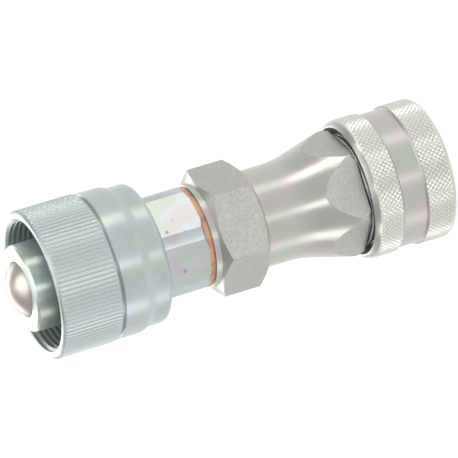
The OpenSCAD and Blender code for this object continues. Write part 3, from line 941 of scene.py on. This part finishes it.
@dataclass
class TurnedParts:
    """The solids that keep their shape and get their finish by material slot."""

    finishes: dict[str, Finish] = field(default_factory=dict)

    def __post_init__(self) -> None:
        """Fills in the finish of each slot."""
        zinc_warm = ZincPlate("zinc_warm", (0.52, 0.53, 0.48))
        zinc_cool = ZincPlate("zinc_cool", (0.47, 0.53, 0.52), film_a=(0.52, 0.56, 0.60))
        made: list[Finish] = [
            zinc_warm, zinc_cool, Copper(),
            TurnedSteel("valve_steel", (0.60, 0.54, 0.49), (0.52, 0.42, 0.36)),
            Polished(), DrawnWire("spring_steel", (0.50, 0.50, 0.51)),
            DrawnWire("ring_steel", (0.30, 0.30, 0.31), 0.45),
            Moulded("rubber_black", (0.025, 0.025, 0.027), 0.38),
            Moulded("backup_plastic", (0.82, 0.80, 0.74), 0.42)]
        self.finishes = {finish.name: finish for finish in made}

    def dress(self) -> None:
        """Gives each CAD node the finish of its slot."""
        done = {name: finish.material() for name, finish in self.finishes.items()}
        hexagons = {
            "socket_body": ZincPlate("zinc_warm_hexagon", (0.52, 0.53, 0.48), hexagon=Hexagon(
                30.0, 0.0, 25.0, 66.5, FlatStyle.PITTED)),
            # A lighter copy of the cool zinc: painted light that brightens the nose, which sits in shade inside
            # the nut.
            "plug_nose": ZincPlate("zinc_cool_nose_painted_light", (0.66, 0.76, 0.74), film_a=(0.60, 0.62, 0.50)),
            # A lighter, bluer copy of the cool zinc: painted reflection that brightens the plug body and its
            # hexagon flats.
            "plug_body": ZincPlate("zinc_cool_hexagon_painted_reflection", (0.54, 0.60, 0.62), hexagon=Hexagon(
                27.0, 31.6, 69.0, 84.5, FlatStyle.SPOTTED))}
        for name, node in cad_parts.items():
            special = hexagons.get(name)
            if special is not None:
                wear(node, special.material())
                log.info("%s: %s", name, special.name)
                continue
            for slot in node.material_slots:
                slot_name = slot.material.name if slot.material else ""
                slot.material = done.get(slot_name, slot.material)
                log.info("%s: %s", name, slot_name)


# ---------------------------------------------------------------- studio


@dataclass
class Softbox:
    """A lamp: compass angle from the front in degrees, height angle, distance, size, power."""

    name: str
    azimuth: float
    elevation: float
    distance: float
    size: tuple[float, float]
    power: float
    tint: Colour = (1.0, 1.0, 1.0)

    def hang(self, target: Vector) -> None:
        """Hangs the lamp so that it looks at the target."""
        turn, lift = math.radians(self.azimuth), math.radians(self.elevation)
        away = Vector((math.sin(turn) * math.cos(lift), -math.cos(turn) * math.cos(lift), math.sin(lift)))
        data = bpy.data.lights.new(self.name, "AREA")
        data.shape = "RECTANGLE"
        data.size, data.size_y = self.size
        data.energy = self.power
        data.color = self.tint
        lamp = bpy.data.objects.new(self.name, data)
        lamp.location = target + away * self.distance
        lamp.rotation_euler = away.to_track_quat("Z", "Y").to_euler()
        lamp.visible_camera = False
        bpy.context.scene.collection.objects.link(lamp)


@dataclass
class Studio:
    """Floor, lamps, world and camera."""

    elevation: float = 19.0
    roll: float = -106.85
    target: tuple[float, float, float] = (-0.65, 0.0, 58.2)
    distance: float = 1.5
    lens: float = 450.9
    world: Colour = (0.50, 0.51, 0.52)

    def floor(self) -> None:
        """Lays the pale floor; it stays white to the eye and keeps the shadow."""
        mesh = bpy.data.meshes.new("floor")
        half = 6.0
        mesh.from_pydata([(-half, -half, 0), (half, -half, 0), (half, half, 0), (-half, half, 0)],
                         [], [(0, 1, 2, 3)])
        floor = bpy.data.objects.new("floor", mesh)
        bpy.context.scene.collection.objects.link(floor)
        tree = Tree("floor_white")
        path = tree.node("ShaderNodeLightPath", output="Is Camera Ray")
        node = path.socket.node
        seen = path + Wire(tree, node.outputs["Is Glossy Ray"]) + Wire(tree, node.outputs["Is Transmission Ray"])
        plain = tree.node("ShaderNodeBsdfDiffuse", {}, {"Color": (0.88, 0.88, 0.88)})
        white = tree.node("ShaderNodeEmission", {}, {"Color": (1.0, 1.0, 1.0), "Strength": 1.22})
        share = seen.largest(0.0) * 0.7
        tree.node_output(tree.node("ShaderNodeMixShader", {}, {0: share, 1: plain, 2: white}))
        floor.data.materials.append(tree.material)

    def light(self) -> None:
        """Hangs the lamps and sets the world."""
        world = bpy.data.worlds.new("studio")
        world.use_nodes = True
        world.node_tree.nodes["Background"].inputs["Color"].default_value = (*self.world, 1.0)
        bpy.context.scene.world = world
        centre = Vector((0.0, 0.0, 0.06))
        for lamp in (
                Softbox("front", -9.0, 10.0, 0.9, (0.12, 0.30), 0.9),
                Softbox("right", 62.0, 10.0, 0.9, (0.26, 0.30), 1.5, (1.0, 0.98, 0.95)),
                Softbox("left", -80.0, 10.0, 0.9, (0.30, 0.30), 1.3),
                Softbox("back", 180.0, 26.0, 1.1, (1.4, 0.5), 5.0),
                Softbox("top", 60.0, 78.0, 1.2, (1.0, 1.0), 6.0)):
            lamp.hang(centre)

    def shoot(self) -> None:
        """Sets up the camera."""
        tilt, roll = math.radians(self.elevation), math.radians(self.roll)
        back = Vector((0.0, -math.cos(tilt), math.sin(tilt)))
        right0 = Vector((1.0, 0.0, 0.0))
        up0 = Vector((0.0, math.sin(tilt), math.cos(tilt)))
        right = right0 * math.cos(roll) + up0 * math.sin(roll)
        up = up0 * math.cos(roll) - right0 * math.sin(roll)
        data = bpy.data.cameras.new("camera")
        data.lens = self.lens
        data.sensor_width = 36.0
        camera = bpy.data.objects.new("camera", data)
        place = Vector(self.target) * MM + back * self.distance
        turn = Matrix((right, up, back)).transposed().to_4x4()
        camera.matrix_world = Matrix.Translation(place) @ turn
        bpy.context.scene.collection.objects.link(camera)
        bpy.context.scene.camera = camera

    def build(self) -> None:
        """Sets up the whole studio."""
        self.floor()
        self.light()
        self.shoot()
        bpy.context.scene.view_settings.view_transform = "Standard"


def corners(box: Sequence[Sequence[float]]) -> list[list[float]]:
    """A box as plain lists of numbers."""
    return [[float(value) for value in corner] for corner in box]


def main() -> None:
    """Builds the pieces in order and reports each one."""
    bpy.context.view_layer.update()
    TurnedParts().dress()
    low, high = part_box("socket_sleeve")
    sleeve = SocketSleeve(low.z / MM, high.z / MM + 0.3, high.x / MM)
    low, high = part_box("coupling_nut")
    nut = CouplingNut(low.z / MM, high.z / MM, high.x / MM)
    made = [sleeve.dress(), nut.dress()]
    spring_finish = DrawnWire("spring_wire", (0.50, 0.50, 0.51)).material()
    for spring in (
            Spring("sleeve_spring", "sleeve_slide", 1.4, 5.5, True),
            Spring("socket_valve_spring", "socket_valve_slide", 1.3, 4.5, True),
            Spring("plug_valve_spring", "plug_valve_slide", 1.3, 4.5, False)):
        made.append(spring.dress(spring_finish))
    for piece in made:
        log.info("%s: %d faces", piece.name, len(piece.data.polygons))
    Studio().build()


if __name__ == "__main__":
    main()
